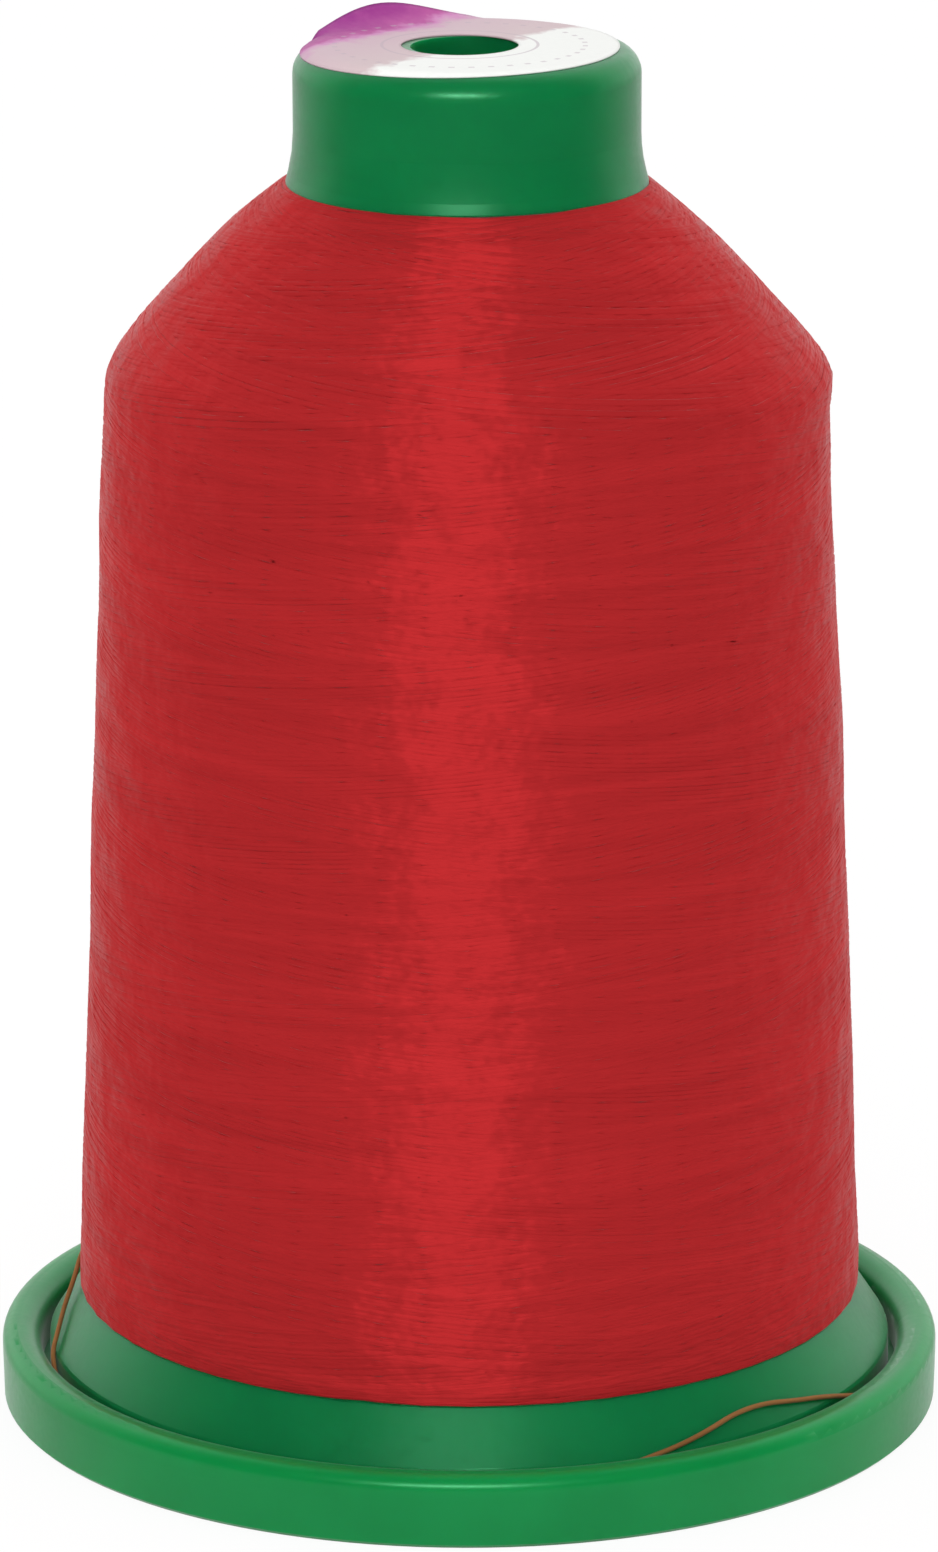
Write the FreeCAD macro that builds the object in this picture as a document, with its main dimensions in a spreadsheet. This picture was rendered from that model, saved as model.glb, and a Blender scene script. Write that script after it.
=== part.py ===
import FreeCAD, Part
import math
import os
import Sketcher

# Large spool of embroidery thread: a hollow moulded core with a conical flange, a foot that snaps
# into the core from below, a paper disc on the head, the wound thread and its free end.
# Millimetres, +Z up along the spool's axis, origin on the table under the middle of the foot.

SIZES = [
    ("foot_radius", 38.0, "foot, outside of its lip"),
    ("foot_draft", 0.08, "how much narrower the foot is at the table"),
    ("foot_chamfer", 0.3, "foot, bottom corner"),
    ("draft_top", 3.7, "where the foot reaches its full radius"),
    ("lip_height", 5.8, "top of the lip above the table"),
    ("lip_width", 3.2, "lip, outside to inside"),
    ("lip_round_outer", 1.2, "lip, outer round"),
    ("lip_round_inner", 1.6, "lip, inner round"),
    ("ring_width", 1.75, "ring that the foot stands on"),
    ("tray_top", 2.2, "upper face of the foot's floor"),
    ("tray_thickness", 1.2, "floor of the foot"),
    ("tray_rib_count", 12, "ribs under the foot's floor"),
    ("tray_rib_width", 1.2, "rib under the foot's floor"),
    ("tray_rib_drop", 0.7, "rib under the foot's floor, depth"),
    ("hub_radius", 15.15, "snap hub, outside"),
    ("hub_bore", 13.2, "snap hub, inside"),
    ("hub_top", 14.2, "snap hub, top above the table"),
    ("hook_reach", 0.8, "snap hook, beyond the hub"),
    ("hook_flat", 0.6, "snap hook, height of its edge"),
    ("hook_slack", 0.4, "snap hook above the bead when the foot is open"),
    ("slot_count", 6, "slots that part the hub into fingers"),
    ("slot_width", 2.4, "slot between two fingers"),
    ("slot_bottom", 4.0, "lower end of the slots"),
    ("total_height", 110.45, "core, top of its head"),
    ("head_radius", 13.65, "core, neck above the thread"),
    ("head_round", 2.0, "core, top edge of the head"),
    ("head_wall", 1.6, "core, wall of the neck"),
    ("head_plate", 1.55, "core, top plate"),
    ("neck_bottom", 102.2, "core, where the neck starts to flare"),
    ("neck_bend", 12.0, "core, bend from the neck to its flare"),
    ("tube_top", 99.9, "core, upper end of the tapered tube"),
    ("tube_top_radius", 14.25, "core, tube at its upper end"),
    ("tube_bottom_radius", 18.0, "core, tube at the flange"),
    ("tube_wall", 1.6, "core, wall of the tube"),
    ("spindle_radius", 4.45, "hole in the head for a spindle"),
    ("collar_wall", 1.3, "collar round the spindle"),
    ("collar_length", 12.0, "collar with the top plate"),
    ("head_rib_count", 6, "ribs from the collar to the neck"),
    ("head_rib_width", 1.0, "rib from the collar to the neck"),
    ("head_rib_bottom", 101.8, "lower edge of these ribs"),
    ("flange_top_inner", 10.0, "flange, upper face at the tube"),
    ("flange_top_outer", 9.5, "flange, upper face at its shoulder"),
    ("flange_shoulder", 31.2, "flange, radius of its shoulder"),
    ("flange_round", 0.8, "flange, round of its shoulder"),
    ("flange_thickness", 1.5, "flange"),
    ("skirt_radius", 34.15, "skirt, its edge inside the lip"),
    ("skirt_shoulder", 5.05, "skirt, top of its upright edge"),
    ("skirt_round", 0.5, "skirt, top corner of its edge"),
    ("skirt_bottom", 2.5, "skirt, lower edge"),
    ("skirt_wall", 1.3, "skirt"),
    ("beam_radius", 25.0, "ring beam under the flange, inside"),
    ("beam_width", 1.0, "ring beam and ribs under the flange"),
    ("beam_bottom", 3.2, "ring beam and ribs, lower edge"),
    ("flange_rib_count", 6, "ribs under the flange"),
    ("bead_radius", 15.5, "snap bead inside the tube"),
    ("bead_bottom", 5.6, "snap bead, start of its lower slope"),
    ("bead_flat", 1.0, "snap bead, height of its edge"),
    ("bead_slope", 0.5, "snap bead, height of each slope"),
    ("base_travel", 4.0, "how far the foot snaps open"),
    ("winding_bottom_radius", 31.5, "thread, outside at the flange"),
    ("winding_corner_radius", 28.65, "thread, outside at its upper corner"),
    ("winding_corner_height", 85.5, "thread, upper corner"),
    ("winding_corner_round", 3.0, "thread, round of its upper corner"),
    ("winding_top_radius", 15.0, "thread, outside at the neck"),
    ("winding_top", 99.65, "thread, upper end"),
    ("winding_gap", 0.05, "thread to plastic"),
    ("turn_count", 24, "turns of the outer layer"),
    ("turn_diameter", 2.9, "bundle of thread in one turn"),
    ("turn_proud", 0.45, "turn, beyond the thread under it"),
    ("turn_bend", 2.0, "turn, bend at each end of the layer"),
    ("crown_radius", 19.0, "thread above the last turn, outside"),
    ("crown_height", 95.6, "thread above the last turn, lower end"),
    ("label_radius", 12.5, "paper disc"),
    ("label_hole", 4.6, "hole in the paper disc"),
    ("label_thickness", 0.2, "paper disc"),
    ("label_shift", -0.55, "paper disc, off centre along X"),
    ("label_bend_start", 9.5, "paper disc, where its edge starts to lift"),
    ("label_bend_radius", 3.9, "paper disc, bend of the lifted edge"),
    ("label_bend_azimuth", 120.0, "paper disc, direction of the lifted edge"),
    ("tail_diameter", 0.4, "thread"),
]

# Route of the free end of the thread: azimuth in degrees, radius and height. It leaves the thread
# at the left, drops over the skirt, runs in the gap inside the lip round the front, loops out once
# at the right and goes back in, down beside the skirt.
TAIL_ROUTE = [
    (171.0, 31.05, 11.60),
    (177.0, 31.65, 10.75),
    (181.3, 32.10, 9.30),
    (184.8, 32.88, 7.80),
    (187.8, 33.36, 7.04),
    (190.2, 33.84, 6.26),
    (192.5, 34.42, 5.36),
    (194.3, 34.53, 4.35),
    (197.4, 34.54, 3.45),
    (207.6, 34.63, 3.15),
    (219.8, 34.64, 3.25),
    (232.0, 34.64, 3.25),
    (244.0, 34.64, 3.37),
    (256.0, 34.64, 3.25),
    (268.0, 34.63, 3.40),
    (279.0, 34.57, 3.46),
    (287.0, 34.51, 4.05),
    (293.0, 34.53, 5.02),
    (298.5, 34.28, 5.56),
    (303.5, 33.88, 6.14),
    (308.5, 33.48, 6.82),
    (314.0, 33.46, 6.86),
    (319.5, 33.78, 6.28),
    (324.8, 34.16, 5.78),
    (330.0, 34.53, 4.98),
    (335.0, 34.53, 4.05),
    (341.0, 34.53, 3.42),
    (348.0, 34.51, 3.00),
]


class Size:
    """A number together with the expression on the sheet that gives it."""

    def __init__(self, value, text):
        self.value = float(value)
        self.text = text

    def __add__(self, other):
        other = as_size(other)
        return Size(self.value + other.value, "(%s + %s)" % (self.text, other.text))

    def __sub__(self, other):
        other = as_size(other)
        return Size(self.value - other.value, "(%s - %s)" % (self.text, other.text))

    def __mul__(self, number):
        return Size(self.value * number, "(%s * %s)" % (self.text, number))

    def __neg__(self):
        return Size(-self.value, "(-%s)" % self.text)


def as_size(number):
    return number if isinstance(number, Size) else Size(number, str(number))


class Sheet:
    """The driving dimensions, each read as an attribute by its alias."""

    def __init__(self, doc):
        self.object = doc.addObject("Spreadsheet::Sheet", "Sizes")
        for row, (alias, number, note) in enumerate(SIZES, start=1):
            self.object.set("A%d" % row, str(number))
            self.object.setAlias("A%d" % row, alias)
            self.object.set("B%d" % row, note)
            setattr(self, alias, Size(number, "Sizes." + alias))
        doc.recompute()


def bind(feature, prop, size):
    """Ties a feature's property to the sheet."""
    feature.setExpression(prop, size.text)


def origin_part(body, role):
    """The body's own origin plane or axis with this role."""
    return next(f for f in body.Origin.OriginFeatures if f.Role == role)


def new_body(doc, name):
    body = doc.addObject("PartDesign::Body", name)
    body.Label = name
    return body


def outline(body, name, plane, corners):
    """Closed sketch of straight lines through corners, each bound to the sheet by both coordinates."""
    sketch = body.newObject("Sketcher::SketchObject", name)
    sketch.AttachmentSupport = [(origin_part(body, plane), "")]
    sketch.MapMode = "FlatFace"
    corners = [(as_size(x), as_size(y)) for x, y in corners]
    points = [FreeCAD.Vector(x.value, y.value, 0) for x, y in corners]
    for here, there in zip(points, points[1:] + points[:1]):
        sketch.addGeometry(Part.LineSegment(here, there), False)
    for i in range(len(points)):
        sketch.addConstraint(Sketcher.Constraint("Coincident", i, 2, (i + 1) % len(points), 1))
    for i, corner in enumerate(corners):
        for kind, size in zip(("DistanceX", "DistanceY"), corner):
            index = sketch.addConstraint(Sketcher.Constraint(kind, -1, 1, i, 1, size.value))
            sketch.setExpression("Constraints[%d]" % index, size.text)
    return sketch


def revolve(body, name, corners):
    """Solid of revolution about Z from an outline given as radius and height."""
    turned = body.newObject("PartDesign::Revolution", name)
    turned.Profile = outline(body, name + "_outline", "XZ_Plane", corners)
    turned.ReferenceAxis = (origin_part(body, "Z_Axis"), [""])
    turned.Angle = 360.0
    body.Document.recompute()
    return turned


def ring_edges(feature, radius, height):
    """Names of the circular edges at this radius and height."""
    found = []
    for number, edge in enumerate(feature.Shape.Edges, start=1):
        curve = edge.Curve
        if not isinstance(curve, Part.Circle):
            continue
        if abs(curve.Radius - radius.value) < 1e-4 and abs(curve.Center.z - height.value) < 1e-4:
            found.append("Edge%d" % number)
    if not found:
        raise RuntimeError("no edge at radius %g, height %g" % (radius.value, height.value))
    return found


def round_ring(body, base, name, radius, height, size):
    """Rounds the circular edge at this radius and height."""
    fillet = body.newObject("PartDesign::Fillet", name)
    fillet.Base = (base, ring_edges(base, radius, height))
    bind(fillet, "Radius", size)
    body.Document.recompute()
    return fillet


def ribs(body, name, corners, width, count):
    """Upright ribs: an outline in the plane of X and Z, as wide as stated, repeated about Z."""
    rib = body.newObject("PartDesign::Pad", name)
    rib.Profile = outline(body, name + "_outline", "XZ_Plane", corners)
    rib.SideType = "Symmetric"
    bind(rib, "Length", width)
    return repeat(body, rib, count)


def repeat(body, feature, count):
    """Repeats a feature about the Z axis."""
    pattern = body.newObject("PartDesign::PolarPattern", feature.Name + "_pattern")
    pattern.Originals = [feature]
    pattern.Axis = (origin_part(body, "Z_Axis"), [""])
    pattern.Angle = 360.0
    bind(pattern, "Occurrences", count)
    body.Tip = pattern
    body.Document.recompute()
    return pattern


def spool_core(doc, s):
    """Neck, tapered tube and conical flange in one moulding, hollow from below."""
    body = new_body(doc, "spool_core")
    collar = s.spindle_radius + s.collar_wall
    plate = s.total_height - s.head_plate
    collar_bottom = s.total_height - s.collar_length
    neck_inside = s.head_radius - s.head_wall
    tube_top_inside = s.tube_top_radius - s.tube_wall
    tube_foot_inside = s.tube_bottom_radius - s.tube_wall
    skirt_inside = s.skirt_radius - s.skirt_wall
    flange_under = s.flange_top_outer - s.flange_thickness
    beam_outside = s.beam_radius + s.beam_width
    turned = revolve(body, "moulding", [
        (s.spindle_radius, s.total_height),
        (s.head_radius, s.total_height),
        (s.head_radius, s.neck_bottom),
        (s.tube_top_radius, s.tube_top),
        (s.tube_bottom_radius, s.flange_top_inner),
        (s.flange_shoulder, s.flange_top_outer),
        (s.skirt_radius, s.skirt_shoulder),
        (s.skirt_radius, s.skirt_bottom),
        (skirt_inside, s.skirt_bottom),
        (skirt_inside, s.skirt_shoulder - 0.6),
        (s.flange_shoulder - 0.9, flange_under),
        (beam_outside, flange_under),
        (beam_outside, s.beam_bottom),
        (s.beam_radius, s.beam_bottom),
        (s.beam_radius, flange_under),
        (s.tube_bottom_radius, flange_under),
        (s.tube_bottom_radius, s.skirt_bottom),
        (tube_foot_inside, s.skirt_bottom),
        (tube_foot_inside, s.bead_bottom),
        (s.bead_radius, s.bead_bottom + s.bead_slope),
        (s.bead_radius, s.bead_bottom + s.bead_slope + s.bead_flat),
        (tube_foot_inside, bead_top(s)),
        (tube_foot_inside, s.flange_top_inner),
        (tube_top_inside, s.tube_top),
        (neck_inside, s.neck_bottom),
        (neck_inside, plate),
        (collar, plate),
        (collar, collar_bottom),
        (s.spindle_radius, collar_bottom),
    ])
    tip = round_ring(body, turned, "head_edge", s.head_radius, s.total_height, s.head_round)
    tip = round_ring(body, tip, "neck_edge", s.head_radius, s.neck_bottom, s.neck_bend)
    tip = round_ring(body, tip, "shoulder_edge", s.flange_shoulder, s.flange_top_outer, s.flange_round)
    round_ring(body, tip, "skirt_edge", s.skirt_radius, s.skirt_shoulder, s.skirt_round)
    ribs(body, "head_rib", [
        (collar - 0.4, s.head_rib_bottom),
        (neck_inside + 0.4, s.head_rib_bottom),
        (neck_inside + 0.4, plate + 0.4),
        (collar - 0.4, plate + 0.4),
    ], s.head_rib_width, s.head_rib_count)
    ribs(body, "flange_rib", [
        (s.tube_bottom_radius - 0.4, s.beam_bottom),
        (skirt_inside + 0.4, s.beam_bottom),
        (skirt_inside + 0.4, s.skirt_shoulder - 0.6),
        (s.flange_shoulder - 0.6, flange_under + 0.4),
        (s.tube_bottom_radius - 0.4, flange_under + 0.4),
    ], s.beam_width, s.flange_rib_count)
    return body


def bead_top(s):
    """Top of the bead inside the core, on which the foot's hooks hang when it is open."""
    return s.bead_bottom + s.bead_slope * 2 + s.bead_flat


def snap_base(doc, s):
    """Foot: a tray with an upturned lip and a slotted hub whose hooks hold it in the core."""
    body = new_body(doc, "snap_base")
    wall_bottom = s.foot_radius - s.foot_draft
    lip_inside = s.foot_radius - s.lip_width
    tray_under = s.tray_top - s.tray_thickness
    ring_inside = wall_bottom - s.ring_width
    hook_bottom = bead_top(s) + s.base_travel + s.hook_slack
    turned = revolve(body, "moulding", [
        (wall_bottom - s.foot_chamfer, 0),
        (wall_bottom, s.foot_chamfer),
        (s.foot_radius, s.draft_top),
        (s.foot_radius, s.lip_height),
        (lip_inside, s.lip_height),
        (lip_inside, s.tray_top),
        (s.hub_radius, s.tray_top),
        (s.hub_radius, hook_bottom),
        (s.hub_radius + s.hook_reach, hook_bottom),
        (s.hub_radius + s.hook_reach, hook_bottom + s.hook_flat),
        (s.hub_radius - 0.4, s.hub_top),
        (s.hub_bore, s.hub_top),
        (s.hub_bore, tray_under),
        (ring_inside, tray_under),
        (ring_inside, 0),
    ])
    tip = round_ring(body, turned, "lip_outer_edge", s.foot_radius, s.lip_height, s.lip_round_outer)
    round_ring(body, tip, "lip_inner_edge", lip_inside, s.lip_height, s.lip_round_inner)
    ribs(body, "tray_rib", [
        (s.hub_bore + 0.4, tray_under - s.tray_rib_drop),
        (ring_inside + 0.4, tray_under - s.tray_rib_drop),
        (ring_inside + 0.4, tray_under + 0.4),
        (s.hub_bore + 0.4, tray_under + 0.4),
    ], s.tray_rib_width, s.tray_rib_count)
    finger_slots(body, s)
    return body


def finger_slots(body, s):
    """Slots that run from the top of the hub down to just above the floor."""
    inner = s.hub_bore - 1
    outer = s.hub_radius + s.hook_reach + 1
    half = s.slot_width * 0.5
    slot = body.newObject("PartDesign::Pocket", "slot")
    slot.Profile = outline(body, "slot_outline", "XY_Plane", [
        (inner, -half),
        (outer, -half),
        (outer, half),
        (inner, half),
    ])
    slot.Profile[0].setExpression("AttachmentOffset.Base.z", s.slot_bottom.text)
    slot.Reversed = True
    bind(slot, "Length", s.hub_top - s.slot_bottom + 1)
    repeat(body, slot, s.slot_count)
    wall = s.hub_radius.value - s.hub_bore.value
    least_cut = wall * s.slot_width.value * (s.hub_top.value - s.slot_bottom.value) * 0.9
    if slot.BaseFeature.Shape.Volume - slot.Shape.Volume < least_cut:
        raise RuntimeError("the slot between the fingers isn't cut")


def thread_winding(doc, s):
    """The wound thread as one plain solid, under its outer layer of turns."""
    body = new_body(doc, "thread_winding")
    gap = s.winding_gap
    # the cone above the corner slopes at about 45 degrees, so a point on it moves in by this much each way
    slant = s.turn_proud * 0.7
    corner = (s.winding_corner_radius - s.turn_proud, s.winding_corner_height - s.turn_proud * 0.38)
    turned = revolve(body, "package", [
        (s.tube_bottom_radius + gap, s.flange_top_inner + gap * 2),
        (s.winding_bottom_radius - s.turn_proud, s.flange_top_outer + gap * 2),
        corner,
        (s.crown_radius - slant, s.crown_height - slant),
        (s.crown_radius, s.crown_height),
        (s.winding_top_radius, s.winding_top),
        (s.tube_top_radius + gap, s.winding_top),
    ])
    round_ring(body, turned, "corner_edge", corner[0], corner[1], s.winding_corner_round)
    return body


def biarc(start, start_way, end, end_way):
    """Two tangent arcs from one point and direction to another."""
    chord = end - start
    ways = start_way + end_way
    a = 2.0 * (1.0 - start_way.dot(end_way))
    b = 2.0 * chord.dot(ways)
    c = -chord.dot(chord)
    if abs(a) < 1e-9:
        reach = -c / b
    else:
        reach = (-b + math.sqrt(b * b - 4.0 * a * c)) / (2.0 * a)
    corner_one = start + start_way * reach
    corner_two = end - end_way * reach
    joint = (corner_one + corner_two) * 0.5
    return [arc_between(start, corner_one, joint), arc_between(joint, corner_two, end)]


def arc_between(start, corner, end):
    """Arc from start to end, tangent to the lines that meet at the corner."""
    middle = (start + end) * 0.5
    weight = start.distanceToPoint(middle) / start.distanceToPoint(corner)
    if weight > 1.0 - 1e-9:
        return Part.LineSegment(start, end).toShape()
    crown = (middle + corner * weight) * (1.0 / (1.0 + weight))
    return Part.Arc(start, crown, end).toShape()


def turn_profile(s):
    """Radius and height of the middle of the turns, by the distance along their profile, and its length."""
    inset = s.turn_diameter.value * 0.5
    side = (s.winding_corner_radius.value - s.winding_bottom_radius.value,
            s.winding_corner_height.value - s.flange_top_inner.value)
    cone = (s.winding_top_radius.value - s.winding_corner_radius.value,
            s.winding_top.value - s.winding_corner_height.value)
    side_length = math.hypot(*side)
    cone_length = math.hypot(*cone)
    side = (side[0] / side_length, side[1] / side_length)
    cone = (cone[0] / cone_length, cone[1] / cone_length)
    half_turn = 0.5 * math.acos(side[0] * cone[0] + side[1] * cone[1])
    # the inset corner lies on the bisector of the two faces
    corner_shift = inset * math.tan(half_turn)
    corner = (s.winding_corner_radius.value - inset * side[1] - corner_shift * side[0],
              s.winding_corner_height.value + inset * side[0] - corner_shift * side[1])
    bend = s.winding_corner_round.value
    cut = bend * math.tan(half_turn)
    arc_length = bend * 2.0 * half_turn
    below = side_length - corner_shift - inset - cut - 0.2
    # the last turn leaves room for the end that bends in to the tube
    end_radius = s.tube_top_radius.value + 0.4 + s.turn_diameter.value + s.turn_bend.value
    above = (corner[0] - end_radius) / -cone[0] - cut
    start = (corner[0] - side[0] * (below + cut), corner[1] - side[1] * (below + cut))
    total = below + arc_length + above

    def at(distance):
        if distance <= below:
            return (start[0] + side[0] * distance, start[1] + side[1] * distance)
        if distance >= below + arc_length:
            run = distance - below - arc_length + cut
            return (corner[0] + cone[0] * run, corner[1] + cone[1] * run)
        angle = (distance - below) / bend
        first = (corner[0] - side[0] * cut, corner[1] - side[1] * cut)
        # inward normal of the side face
        across = (-side[1], side[0])
        along = bend * math.sin(angle)
        inward = bend * (1.0 - math.cos(angle))
        return (first[0] + side[0] * along + across[0] * inward,
                first[1] + side[1] * along + across[1] * inward)

    return at, total


def outer_turns(doc, s):
    """The outer layer: one unbroken tube that climbs from the flange to the neck."""
    at, total = turn_profile(s)
    turns = int(s.turn_count.value)
    steps = 4
    count = turns * steps
    step = 2.0 * math.pi / steps

    def point(k):
        radius, height = at(total * k / count)
        return FreeCAD.Vector(radius * math.cos(k * step), radius * math.sin(k * step), height)

    def way(k):
        small = 0.01
        low, high = max(k - small, 0), min(k + small, count)
        return (point(high) - point(low)).normalize()

    points = [point(k) for k in range(count + 1)]
    ways = [way(k) for k in range(count + 1)]
    first = turn_end(points[0], ways[0], -1.0, s)
    last = turn_end(points[-1], ways[-1], 1.0, s)
    edges = list(first)
    for k in range(count):
        edges += biarc(points[k], ways[k], points[k + 1], ways[k + 1])
    edges += list(last)
    path = Part.Wire(edges)
    solid = tube(path, s.turn_diameter.value)
    report_tube("outer_turns", path, solid, s.turn_diameter.value)
    print("outer_turns: least gap to itself %.2f mm" % least_gap(path, s.turn_diameter.value))
    turns_object = doc.addObject("Part::Feature", "outer_turns")
    turns_object.Label = "outer_turns"
    turns_object.Shape = solid
    turns_object.Placement = FreeCAD.Placement()
    return turns_object


def turn_end(point, way, side, s):
    """Bend and straight end that take the tube square into the thread; side is -1 or 1 at first or last."""
    bend = s.turn_bend.value
    inward = FreeCAD.Vector(-point.x, -point.y, 0).normalize()
    inward = (inward - way * inward.dot(way)).normalize()
    corner = point + way * (side * bend)
    foot = corner + inward * bend
    end = foot + inward * s.turn_diameter.value
    edges = [arc_between(point, corner, foot), Part.LineSegment(foot, end).toShape()]
    if side > 0:
        return edges
    return [Part.LineSegment(end, foot).toShape(), arc_between(foot, corner, point)]


def tube(path, diameter):
    """Round tube along a wire."""
    start = path.OrderedEdges[0]
    way = start.tangentAt(start.FirstParameter)
    section = Part.Wire([Part.makeCircle(diameter * 0.5, start.Vertexes[0].Point, way)])
    return path.makePipeShell([section], True, False)


def report_tube(name, path, solid, diameter):
    """Prints the tube's length, and its volume beside its section times its length."""
    section = math.pi * diameter ** 2 / 4.0
    print("%s: length %.1f mm, volume %.2f of %.2f mm3"
          % (name, path.Length, solid.Volume, section * path.Length))


def least_gap(path, diameter):
    """Least distance between the surfaces of two turns, from points along the path."""
    spacing = 0.5
    points = path.discretize(Distance=spacing)
    cell = 2.0 * diameter
    apart = int(math.pi * cell / spacing)
    cells = {}
    for i, p in enumerate(points):
        cells.setdefault(cell_of(p, cell), []).append(i)
    least = cell
    sides = (-1, 0, 1)
    for i, p in enumerate(points):
        x, y, z = cell_of(p, cell)
        near = [(x + dx, y + dy, z + dz) for dx in sides for dy in sides for dz in sides]
        for j in (j for key in near for j in cells.get(key, ()) if j > i + apart):
            least = min(least, p.distanceToPoint(points[j]))
    return least - diameter


def cell_of(p, cell):
    return (int(p.x // cell), int(p.y // cell), int(p.z // cell))


def top_label(doc, s):
    """Paper disc on the head, its edge lifted at the back."""
    sheet = doc.addObject("Sketcher::SketchObject", "label_strip")
    sheet.Placement = FreeCAD.Placement(FreeCAD.Vector(0, 0, 0),
                                        FreeCAD.Rotation(FreeCAD.Vector(1, 0, 0), 90))
    # the strip is a little longer and wider than the disc that is cut from it
    margin = 0.3
    reach = s.label_radius.value + margin
    bend = s.label_bend_radius.value
    start = s.label_bend_start.value
    angle = math.asin((reach - start) / bend)
    thick = s.label_thickness.value
    half = angle * 0.5
    near, far = bend - thick, bend

    def on_bend(radius, turn):
        return FreeCAD.Vector(start + radius * math.sin(turn), bend - radius * math.cos(turn), 0)

    left = FreeCAD.Vector(-reach, 0, 0)
    left_top = FreeCAD.Vector(-reach, thick, 0)
    sheet.addGeometry([
        Part.LineSegment(left, on_bend(far, 0)),
        Part.Arc(on_bend(far, 0), on_bend(far, half), on_bend(far, angle)),
        Part.LineSegment(on_bend(far, angle), on_bend(near, angle)),
        Part.Arc(on_bend(near, angle), on_bend(near, half), on_bend(near, 0)),
        Part.LineSegment(on_bend(near, 0), left_top),
        Part.LineSegment(left_top, left),
    ], False)
    strip = doc.addObject("Part::Extrusion", "label_sheet")
    strip.Base = sheet
    strip.DirMode = "Custom"
    strip.Dir = FreeCAD.Vector(0, 1, 0)
    strip.Solid = True
    strip.Symmetric = True
    bind(strip, "LengthFwd", s.label_radius * 2 + margin * 2)
    disc = doc.addObject("Part::Cylinder", "label_disc")
    bind(disc, "Radius", s.label_radius)
    bind(disc, "Height", s.label_radius)
    hole = doc.addObject("Part::Cylinder", "label_hole_tool")
    bind(hole, "Radius", s.label_hole)
    bind(hole, "Height", s.label_radius)
    cut_out = doc.addObject("Part::Common", "label_cut_out")
    cut_out.Base = strip
    cut_out.Tool = disc
    label = doc.addObject("Part::Cut", "top_label")
    label.Label = "top_label"
    label.Base = cut_out
    label.Tool = hole
    bind(label, "Placement.Base.x", s.label_shift)
    bind(label, "Placement.Base.z", s.total_height)
    label.Placement.Rotation = FreeCAD.Rotation(FreeCAD.Vector(0, 0, 1), s.label_bend_azimuth.value)
    return label


def thread_tail(doc, s):
    """Free end of the thread along its route."""
    points = []
    for azimuth, radius, height in TAIL_ROUTE:
        angle = math.radians(azimuth)
        points.append(FreeCAD.Vector(radius * math.cos(angle), radius * math.sin(angle), height))
    path, radii = rounded_path(points)
    solid = tube(path, s.tail_diameter.value)
    report_tube("thread_tail", path, solid, s.tail_diameter.value)
    print("thread_tail: radii %s mm" % " ".join("%.0f" % r for r in radii))
    tail = doc.addObject("Part::Feature", "thread_tail")
    tail.Label = "thread_tail"
    tail.Shape = solid
    tail.Placement = FreeCAD.Placement()
    return tail


def rounded_path(points):
    """Straight runs joined by arcs as large as the two runs allow, and the arcs' radii."""
    edges, radii = [], []
    here = points[0]
    for before, corner, after in zip(points, points[1:], points[2:]):
        into = corner - before
        out = after - corner
        cut = 0.45 * min(into.Length, out.Length)
        into.normalize()
        out.normalize()
        half_turn = 0.5 * math.acos(max(-1.0, min(1.0, into.dot(out))))
        radii.append(cut / math.tan(half_turn))
        enter = corner - into * cut
        leave = corner + out * cut
        edges.append(Part.LineSegment(here, enter).toShape())
        edges.append(arc_between(enter, corner, leave))
        here = leave
    edges.append(Part.LineSegment(here, points[-1]).toShape())
    return Part.Wire(edges), radii


def check(doc, parts):
    """Stops where a feature failed or a sub-part's shape is empty or broken."""
    for item in doc.Objects:
        if "Invalid" in item.State or "Error" in item.State:
            raise RuntimeError("%s failed: %s" % (item.Name, item.State))
    for part in parts:
        shape = part.Shape
        if shape.isNull() or not shape.isValid() or not shape.Solids:
            raise RuntimeError("%s has no valid solid" % part.Label)


def main():
    doc = FreeCAD.newDocument("spool_of_thread")
    sheet = Sheet(doc)
    makers = [spool_core, snap_base, top_label, thread_winding, outer_turns, thread_tail]
    parts = [maker(doc, sheet) for maker in makers]
    doc.recompute()
    check(doc, parts)
    os.makedirs("parts", exist_ok=True)
    for part in parts:
        part.Shape.exportStep("parts/%s.step" % part.Label)
        box = part.Shape.optimalBoundingBox()
        print("%-15s %9.1f mm3, %.2f x %.2f x %.2f mm, z %.2f to %.2f"
              % (part.Label, part.Shape.Volume, box.XLength, box.YLength, box.ZLength, box.ZMin, box.ZMax))


main()
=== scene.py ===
import math

import bpy
import numpy as np
from mathutils import Matrix

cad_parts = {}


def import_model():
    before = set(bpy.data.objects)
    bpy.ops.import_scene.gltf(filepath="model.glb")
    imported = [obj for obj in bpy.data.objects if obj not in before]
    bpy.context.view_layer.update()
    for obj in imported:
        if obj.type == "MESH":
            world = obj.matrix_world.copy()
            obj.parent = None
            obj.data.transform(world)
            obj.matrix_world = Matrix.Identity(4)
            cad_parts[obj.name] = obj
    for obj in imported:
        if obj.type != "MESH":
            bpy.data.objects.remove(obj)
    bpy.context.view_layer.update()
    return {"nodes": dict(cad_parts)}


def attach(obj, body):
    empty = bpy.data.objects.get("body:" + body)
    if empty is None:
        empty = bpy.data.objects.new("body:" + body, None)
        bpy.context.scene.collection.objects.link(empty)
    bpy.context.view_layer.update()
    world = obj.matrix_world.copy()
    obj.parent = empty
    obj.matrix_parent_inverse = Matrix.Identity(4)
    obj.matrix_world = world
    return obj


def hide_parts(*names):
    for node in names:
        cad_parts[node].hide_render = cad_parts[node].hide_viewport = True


# A large spool of embroidery thread on a pale floor. Metres, +Z up along the spool's axis.

MILLIMETRE = 0.001

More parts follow.
